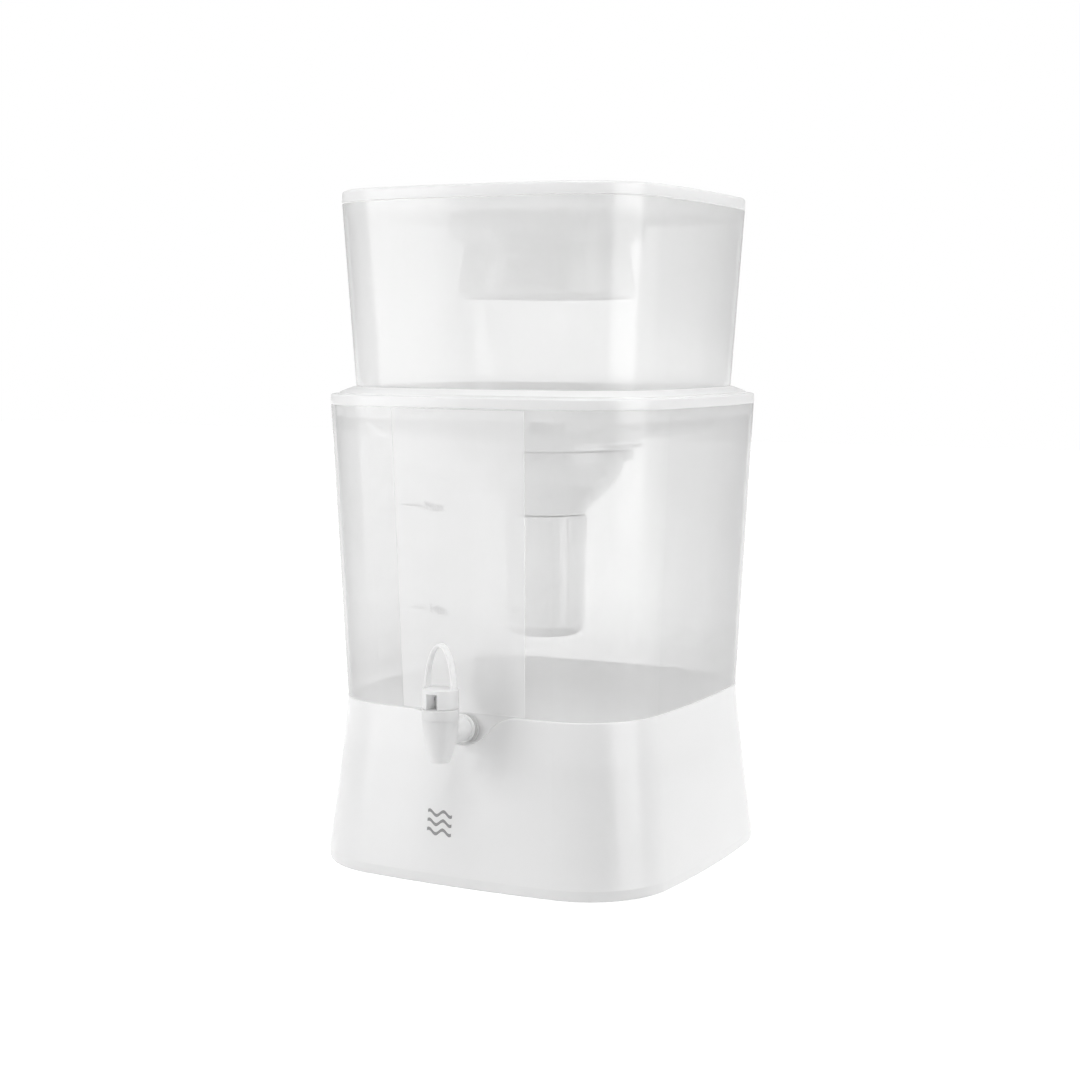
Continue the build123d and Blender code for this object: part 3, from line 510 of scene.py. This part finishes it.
def make_moulded_wall():
    """Geometry Nodes: carries a wall's outline round a square plan with bowed sides and round corners.

    The outline is a chain of points, X for half the width and Z for the height, each with a corner round.
    Shares of 1 and 1 make the plan a circle.
    """
    takes = [
        ("Outline", "NodeSocketGeometry", None),
        ("Corner share", "NodeSocketFloat", 0.474),
        ("Bow share", "NodeSocketFloat", 6.582),
        ("Steps round", "NodeSocketInt", 480),
        ("Steps in a round", "NodeSocketInt", 4),
        ("Axis", "NodeSocketVector", (0, 0, 0)),
        ("Sharp angle", "NodeSocketFloat", 0.6),
        ("Stuff", "NodeSocketMaterial", None),
    ]
    tree, given, out = new_group("moulded_wall", "GeometryNodeTree", takes, [("Wall", "NodeSocketGeometry")])
    corner, side = given["Corner share"], given["Bow share"]

    def attribute(name, kind):
        return add_node(tree, "GeometryNodeInputNamedAttribute", {"data_type": kind}, Name=name).outputs[0]

    def store(geometry, name, value):
        node = add_node(tree, "GeometryNodeStoreNamedAttribute", {"data_type": "FLOAT_VECTOR"}, Name=name)
        feed(tree, node.inputs["Geometry"], geometry)
        feed(tree, node.inputs["Value"], value)
        return node.outputs[0]

    def times(one, other):
        return calc(tree, "MULTIPLY", one, other)

    def less(one, other):
        return calc(tree, "SUBTRACT", one, other)

    # The plan has a half-width of 1. A side is an arc about a point that lies past the middle, a corner is an
    # arc about (middle, middle), and they meet at (turn_big, turn_small). Each point of a unit circle moves
    # along its ray to the one or the other.
    position = tree.nodes.new("GeometryNodeInputPosition").outputs[0]
    circle = add_node(tree, "GeometryNodeCurvePrimitiveCircle", Resolution=given["Steps round"], Radius=1.0)
    way = split(tree, position)
    across, deep = (calc(tree, "ABSOLUTE", way[axis]) for axis in "XY")
    big, small = calc(tree, "MAXIMUM", across, deep), calc(tree, "MINIMUM", across, deep)
    past, gap = less(side, 1.0), less(side, corner)
    spare = calc(tree, "MULTIPLY_ADD", times(gap, gap), 2.0, times(past, times(past, -1.0)))
    middle = times(less(calc(tree, "SQRT", spare), past), 0.5)
    reach = calc(tree, "DIVIDE", corner, gap)
    turn_small = calc(tree, "MULTIPLY_ADD", reach, middle, middle)
    turn_big = calc(tree, "MULTIPLY_ADD", reach, calc(tree, "ADD", middle, past), middle)
    slack = times(past, small)
    bowed = calc(tree, "SQRT", less(times(side, side), times(slack, slack)))
    bowed = less(bowed, times(past, big))
    lean = times(middle, calc(tree, "ADD", big, small))
    inside = less(times(corner, corner), times(times(middle, middle), 2.0))
    under_root = calc(tree, "MAXIMUM", 0.0, calc(tree, "MULTIPLY_ADD", lean, lean, inside))
    rounded = calc(tree, "ADD", lean, calc(tree, "SQRT", under_root))
    at_corner = calc(tree, "GREATER_THAN", times(small, turn_big), times(big, turn_small))
    radius = calc(tree, "MULTIPLY_ADD", at_corner, less(rounded, bowed), bowed)
    plan = store(circle.outputs[0], "plan", scaled(tree, position, radius))

    chain = add_node(tree, "GeometryNodeMeshToCurve", Mesh=given["Outline"])
    eased = add_node(
        tree,
        "GeometryNodeFilletCurve",
        {"mode": "POLY"},
        Curve=chain.outputs[0],
        Radius=attribute("round", "FLOAT"),
        Limit_Radius=True,
        Count=given["Steps in a round"],
    )
    outline = store(eased.outputs[0], "station", position)

    sweep = add_node(tree, "GeometryNodeCurveToMesh", Curve=plan, Profile_Curve=outline)
    plan_spot = split(tree, attribute("plan", "FLOAT_VECTOR"))
    station = split(tree, attribute("station", "FLOAT_VECTOR"))
    spot = add_node(
        tree,
        "ShaderNodeCombineXYZ",
        X=times(plan_spot["X"], station["X"]),
        Y=times(plan_spot["Y"], station["X"]),
        Z=station["Z"],
    )
    placed = add_node(
        tree,
        "GeometryNodeSetPosition",
        Geometry=sweep.outputs[0],
        Position=spot.outputs[0],
        Offset=given["Axis"],
    )
    closed = add_node(tree, "GeometryNodeMergeByDistance", Geometry=placed.outputs[0], Distance=0.000002)
    smooth = add_node(tree, "GeometryNodeSetShadeSmooth", Geometry=closed.outputs[0])
    bend = tree.nodes.new("GeometryNodeInputMeshEdgeAngle").outputs["Unsigned Angle"]
    sharp = add_node(
        tree,
        "GeometryNodeSetShadeSmooth",
        {"domain": "EDGE"},
        Geometry=smooth.outputs[0],
        Selection=calc(tree, "GREATER_THAN", bend, given["Sharp angle"]),
        Shade_Smooth=False,
    )
    return finish_tree(tree, out, sharp.outputs[0], given["Stuff"])


moulded_wall = make_moulded_wall()
tank_axis = (0.0, 0.0163, 0.0)
millimetres = 1000


def walled(name, outline, sizes, closed=True):
    """Piece made by the moulded wall tree from (half-width, height, round) points in millimetres."""
    mesh = bpy.data.meshes.new(name)
    count = len(outline)
    ends = count if closed else count - 1
    points = [(half / millimetres, 0, height / millimetres) for half, height, ease in outline]
    mesh.from_pydata(points, [(i, (i + 1) % count) for i in range(ends)], [])
    rounds = mesh.attributes.new("round", "FLOAT", "POINT")
    rounds.data.foreach_set("value", [ease / millimetres for half, height, ease in outline])
    piece = grow(name, moulded_wall, {"Axis": tank_axis, **sizes}, mesh)
    whole = bmesh.new()
    whole.from_mesh(piece.data)
    bmesh.ops.recalc_face_normals(whole, faces=whole.faces)
    whole.to_mesh(piece.data)
    whole.free()
    return piece


collar_outline = [
    (144.65, 358.0, 0.4),
    (144.65, 366.0, 1.5),
    (138.85, 366.0, 0.5),
    (138.85, 367.4, 0.4),
    (129.65, 371.5, 0.8),
    (125.2, 371.5, 0.8),
    (125.2, 349.0, 0.5),
    (127.8, 349.0, 0.5),
    (127.8, 364.8, 0.5),
    (138.2, 364.8, 0.5),
    (138.2, 349.0, 0.5),
    (140.8, 349.0, 0.5),
    (140.8, 358.0, 0.3),
]
collar = walled("collar_cover", collar_outline, {"Stuff": white_plastic})
stand_for(collar, "collar", "collar")

# Upper tank
# Moulded in the same milky plastic as the lower tank. Its narrower foot hangs through the collar and carries
# the filter, and a ledge inside its rim carries the fill tray.

upper_outline = [
    (9.3, 331.0, 0),
    (122.1, 331.0, 20.0),
    (124.7, 371.8, 0.4),
    (127.9, 371.8, 0.6),
    (136.4, 510.4, 0.5),
    (134.8, 510.4, 0.4),
    (134.285, 502.0, 0),
    (133.085, 502.0, 0.3),
    (125.45, 377.4, 2.0),
    (121.9, 371.8, 2.0),
    (119.3, 334.0, 17.0),
    (9.3, 334.0, 0),
]
upper_plastic = clear(
    "upper_plastic",
    (0.94, 0.94, 0.94),
    milk=0.34,
    edge_milk=1.0,
    veil=0.04,
    glow=0.14,
    edge_shade=0.85,
    ior=1.75,
    gloss=0.15,
    gloss_spread=0.06,
)
upper_tank = walled("upper_tank_wall", upper_outline, {"Stuff": upper_plastic, "Steps in a round": 6})
stand_for(upper_tank, "upper_tank", "upper_tank")

# Filter head, bell and cartridge
# White natural plastic. The head is clamped under the upper tank's floor by a nut, a ring locks the bell to
# it, and a ribbed cap and fluted cup screw on below. Inside are mineral balls, felt pads and carbon grains.

filter_plastic = moulded(
    "filter_plastic", (0.88, 0.88, 0.88), dent=0.00003, gloss=0.2, cloud_depth=0.05, cloud_scale=40.0
)
dress(filter_plastic, "filter_head", "filter_nut", "bell_lock_ring", "filter_bell")
dress(filter_plastic, "cartridge_cap", "cartridge_cup")
dress(seal_rubber, "filter_gasket", "bell_seal", "cartridge_seal")


def make_packed_grains():
    """Grains packed against each other: a colour for each grain and a height that falls off to its edge."""
    takes = [
        ("Pale", "NodeSocketColor", (0.7, 0.7, 0.7, 1)),
        ("Deep", "NodeSocketColor", (0.3, 0.3, 0.3, 1)),
        ("Grains per metre", "NodeSocketFloat", 300.0),
    ]
    gives = [("Colour", "NodeSocketColor"), ("Height", "NodeSocketFloat")]
    group, given, out = new_group("packed_grains", "ShaderNodeTree", takes, gives)
    place = group.nodes.new("ShaderNodeTexCoord").outputs["Object"]
    cells = add_node(group, "ShaderNodeTexVoronoi", Vector=place, Scale=given["Grains per metre"]).outputs
    shade = add_node(group, "ShaderNodeSeparateColor", Color=cells["Color"])
    blend = add_node(group, "ShaderNodeMix", {"data_type": "RGBA"})
    # The node's colour sockets share their names with its number sockets, so they go by their places.
    feed(group, blend.inputs[0], shade.outputs[0])
    feed(group, blend.inputs[6], given["Deep"])
    feed(group, blend.inputs[7], given["Pale"])
    feed(group, out["Colour"], blend.outputs[2])
    feed(group, out["Height"], calc(group, "SUBTRACT", 1.0, cells["Distance"]))
    return group


packed_grains = make_packed_grains()


def granular(name, pale, deep, grain, roughness):
    """Bed of loose grains of one size."""
    material = bpy.data.materials.new(name)
    material.use_nodes = True
    tree = material.node_tree
    shader = tree.nodes["Principled BSDF"]
    shader.inputs["Roughness"].default_value = roughness
    bed = add_node(tree, "ShaderNodeGroup", {"node_tree": packed_grains}, Pale=(*pale, 1), Deep=(*deep, 1))
    bed.inputs["Grains per metre"].default_value = 1 / grain
    feed(tree, shader.inputs["Base Color"], bed.outputs["Colour"])
    pits = add_node(tree, "ShaderNodeBump", Strength=0.9, Distance=grain / 2, Height=bed.outputs["Height"])
    feed(tree, shader.inputs["Normal"], pits.outputs["Normal"])
    return material


mineral_balls = granular(
    "mineral_balls", pale=(0.62, 0.56, 0.46), deep=(0.22, 0.17, 0.13), grain=0.004, roughness=0.6
)
carbon_grains = granular(
    "carbon_grains", pale=(0.03, 0.03, 0.03), deep=(0.008, 0.008, 0.008), grain=0.0012, roughness=0.45
)
dress(mineral_balls, "mineral_bed")
dress(carbon_grains, "carbon_bed")

# Felt pads
# Discs of pressed white felt: one over the mineral balls, one on each side of the carbon, and a thick one in
# the prefilter. They are cut with a punch, so their edges are slightly rounded and fibres stand out of them.

still_lump = 0.62
fibre_tilt, fibre_turn = 1.35, 6.28


def make_felt_nap():
    """Geometry Nodes: makes a smooth disc uneven and sets loose fibres in its faces."""
    takes = [
        ("Disc", "NodeSocketGeometry", None),
        ("Unevenness", "NodeSocketFloat", 0.0003),
        ("Fibres per square metre", "NodeSocketFloat", 60000.0),
        ("Fibre length", "NodeSocketFloat", 0.0011),
        ("Fibre thickness", "NodeSocketFloat", 0.00006),
        ("Seed", "NodeSocketInt", 4),
        ("Stuff", "NodeSocketMaterial", None),
    ]
    tree, given, out = new_group("felt_nap", "GeometryNodeTree", takes, [("Pad", "NodeSocketGeometry")])
    lumps = add_node(tree, "ShaderNodeTexNoise", Scale=260.0, Detail=3.0).outputs["Fac"]
    raised = calc(tree, "MULTIPLY", calc(tree, "SUBTRACT", lumps, still_lump), given["Unevenness"])
    push = scaled(tree, tree.nodes.new("GeometryNodeInputNormal").outputs[0], raised)
    uneven = add_node(tree, "GeometryNodeSetPosition", Geometry=given["Disc"], Offset=push).outputs[0]
    roots = add_node(
        tree,
        "GeometryNodeDistributePointsOnFaces",
        Mesh=uneven,
        Density=given["Fibres per square metre"],
        Seed=given["Seed"],
    ).outputs
    fibre = add_node(
        tree,
        "GeometryNodeMeshCone",
        {"fill_type": "NONE"},
        Vertices=3,
        Side_Segments=2,
        Radius_Bottom=given["Fibre thickness"],
        Depth=given["Fibre length"],
    )
    tilt = add_node(
        tree,
        "FunctionNodeRandomValue",
        {"data_type": "FLOAT_VECTOR"},
        Min=(-fibre_tilt, -fibre_tilt, 0),
        Max=(fibre_tilt, fibre_tilt, fibre_turn),
        Seed=given["Seed"],
    )
    lay = add_node(
        tree,
        "FunctionNodeRotateRotation",
        {"rotation_space": "LOCAL"},
        Rotation=roots["Rotation"],
        Rotate_By=tilt.outputs[0],
    )
    nap = add_node(
        tree,
        "GeometryNodeInstanceOnPoints",
        Points=roots["Points"],
        Instance=fibre.outputs["Mesh"],
        Rotation=lay.outputs[0],
    )
    both = tree.nodes.new("GeometryNodeJoinGeometry")
    for layer in (uneven, nap.outputs[0]):
        feed(tree, both.inputs[0], layer)
    return finish_tree(tree, out, both.outputs[0], given["Stuff"])


felt_nap = make_felt_nap()
white_felt = moulded(
    "white_felt", (0.82, 0.82, 0.8), dent=0.0002, gloss=0.85, cloud_depth=0.16, cloud_scale=350.0
)
white_felt.node_tree.nodes["Principled BSDF"].inputs["Sheen Weight"].default_value = 0.35


def felt_pad(node, body, seed):
    """Felt disc in the place of a CAD node, a little smaller all round, sized in millimetres."""
    room, edge_round = 0.4, 1.0
    low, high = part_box(node)
    radius = (high.x - low.x) / 2 * millimetres - room
    bottom, top = low.z * millimetres + room / 2, high.z * millimetres - room / 2
    rings = [radius * share for share in (0, 0.2, 0.4, 0.6, 0.8)]
    outline = [(ring, top, 0) for ring in rings]
    outline += [(radius, top, edge_round), (radius, bottom, edge_round)]
    outline += [(ring, bottom, 0) for ring in reversed(rings)]
    round_plan = {"Corner share": 1.0, "Bow share": 1.0, "Steps round": 160, "Stuff": white_felt}
    disc = walled(node + "_disc", outline, round_plan, closed=False)
    pad = grow(node + "_felt", felt_nap, {"Seed": seed, "Stuff": white_felt}, disc.data.copy())
    bpy.data.objects.remove(disc)
    stand_for(pad, body, node)


felt_pad("bell_felt", "bell", seed=11)
felt_pad("felt_pad_upper", "cartridge", seed=12)
felt_pad("felt_pad_lower", "cartridge", seed=13)

# Fill tray and prefilter
# The tray is a milky clear moulding that drops onto the ledge in the upper tank's mouth. The prefilter is a
# slotted white drum with a felt pad in it, which hangs in the tray's ring by four bayonet lugs.

tray_plastic = clear(
    "tray_plastic",
    (0.94, 0.94, 0.94),
    milk=0.65,
    edge_milk=0.85,
    veil=0.05,
    glow=0.3,
    edge_shade=0.1,
    gloss=0.4,
    cloud_depth=0.05,
    cloud_scale=30.0,
)
drum_plastic = moulded(
    "drum_plastic", (0.95, 0.95, 0.95), dent=0.00003, gloss=0.2, cloud_depth=0.04, cloud_scale=30.0
)
let_through(drum_plastic, share=0.45)
dress(tray_plastic, "fill_tray")
dress(drum_plastic, "prefilter_cup")
felt_pad("prefilter_pad", "prefilter", seed=14)

# Lid
# Flat white plastic cover with a rounded edge, moulded in one piece with its skirt.
# It lies loose on the upper tank's rim, and the skirt drops inside.

lid_outline = [
    (0, 520.0, 0),
    (68.0, 520.0, 0),
    (136.6, 520.0, 2.5),
    (136.6, 510.7, 0.5),
    (133.98, 510.7, 0.2),
    (133.98, 504.2, 0.4),
    (132.18, 504.2, 0.4),
    (132.18, 517.6, 1.0),
    (68.0, 517.6, 0),
    (0, 517.6, 0),
]
# The lid's white is a little darker than the stand's, as painted shade that tones down the glow of light its
# walls let through.
lid_plastic = moulded("lid_plastic", (0.89, 0.89, 0.89), dent=0.00002, gloss=0.2, gloss_spread=0.08)
let_through(lid_plastic, share=0.36)
lid = walled("lid_cover", lid_outline, {"Stuff": lid_plastic, "Steps in a round": 6}, closed=False)
stand_for(lid, "lid", "lid")

# Floor, lamps and camera
# A pale matt floor in a white surround, whose far half is a lit backdrop. Soft lamps stand at the front left,
# at the right and overhead. A card at the right shows in gloss alone. The camera stands at the front right.

world_light, backdrop_light, mirrored_light = 0.12, 1.55, 0.6
backdrop_start, backdrop_full = 0.25, 0.85
floor_half, floor_shade = 6, 0.8
floor_lift = 1.0 - floor_shade * world_light + 0.05

floor_mesh = bpy.data.meshes.new("floor")
floor_corners = [(x * floor_half, y * floor_half, 0) for x, y in ((-1, -1), (1, -1), (1, 1), (-1, 1))]
floor_mesh.from_pydata(floor_corners, [], [(0, 1, 2, 3)])
floor = add_object("floor", floor_mesh)
floor_paint = bpy.data.materials.new("floor_paint")
floor_paint.use_nodes = True
tree = floor_paint.node_tree
tree.nodes.clear()
# Only rays from the camera, from gloss or through clear stuff see the floor's lift.
ray = tree.nodes.new("ShaderNodeLightPath").outputs
looked_at = calc(tree, "MAXIMUM", ray["Is Camera Ray"], ray["Is Glossy Ray"])
looked_at = calc(tree, "MAXIMUM", looked_at, ray["Is Transmission Ray"])
matt = add_node(tree, "ShaderNodeBsdfDiffuse", Color=(floor_shade, floor_shade, floor_shade, 1))
lift = calc(tree, "MULTIPLY", looked_at, floor_lift)
glow = add_node(tree, "ShaderNodeEmission", Color=(1, 1, 1, 1), Strength=lift)
both = tree.nodes.new("ShaderNodeAddShader")
feed(tree, both.inputs[0], matt.outputs[0])
feed(tree, both.inputs[1], glow.outputs[0])
add_node(tree, "ShaderNodeOutputMaterial", Surface=both.outputs[0])
floor_mesh.materials.append(floor_paint)

surround = bpy.data.worlds.new("white_surround")
bpy.context.scene.world = surround
surround.use_nodes = True
tree = surround.node_tree
tree.nodes.clear()
heading = split(tree, tree.nodes.new("ShaderNodeTexCoord").outputs["Generated"])
level = ramp(tree, heading["Y"], backdrop_start, backdrop_full, To_Min=world_light, To_Max=backdrop_light)
# The camera and clear stuff see plain white, and gloss sees it darker.
ray = tree.nodes.new("ShaderNodeLightPath").outputs
for kind, light in (("Camera", 1.0), ("Transmission", 1.0), ("Glossy", mirrored_light)):
    level = calc(tree, "MULTIPLY_ADD", ray[f"Is {kind} Ray"], calc(tree, "SUBTRACT", light, level), level)
white = add_node(tree, "ShaderNodeBackground", Color=(1, 1, 1, 1), Strength=level)
add_node(tree, "ShaderNodeOutputWorld", Surface=white.outputs[0])


def soft_lamp(name, place, aim, size, watts):
    """Rectangular lamp turned towards a point."""
    data = bpy.data.lights.new(name, "AREA")
    data.shape = "RECTANGLE"
    data.size, data.size_y = size
    data.energy = watts
    lamp = add_object(name, data)
    lamp.visible_camera = False
    lamp.location = place
    way = [a - p for a, p in zip(aim, place)]
    lamp.rotation_euler = (
        math.atan2(math.hypot(way[0], way[1]), -way[2]),
        0,
        math.atan2(way[1], way[0]) - math.pi / 2,
    )
    return lamp


soft_lamp("front_left_lamp", place=(-0.9, -0.99, 0.5), aim=(0, 0, 0.27), size=(0.6, 1.0), watts=8.3)
right_lamp = soft_lamp("right_lamp", place=(1.3, -0.03, 0.95), aim=(0, 0, 0.2), size=(0.85, 0.9), watts=8.8)
right_lamp.visible_glossy = False
right_card = soft_lamp("right_card", place=(1.33, -0.25, 0.5), aim=(0, 0, 0.27), size=(0.95, 1.3), watts=18.0)
right_card.visible_diffuse = right_card.visible_transmission = False
soft_lamp("high_lamp", place=(0.15, -0.55, 1.7), aim=(0, 0, 0.3), size=(0.9, 0.9), watts=12.5)

looks_down, turned_left, leans = 5.809, 27.376, 0.218
camera_data = bpy.data.cameras.new("camera")
camera_data.lens = 66.06
camera_data.sensor_width = 36.0
camera_data.shift_x = -0.00571
camera = add_object("camera", camera_data)
camera.location = (0.72295, -1.3798, 0.40881)
camera.rotation_euler = (math.radians(90 - looks_down), 0, math.radians(turned_left))
camera.rotation_euler.rotate_axis("Z", math.radians(leans))
bpy.context.scene.camera = camera
bpy.context.scene.view_settings.view_transform = "Standard"
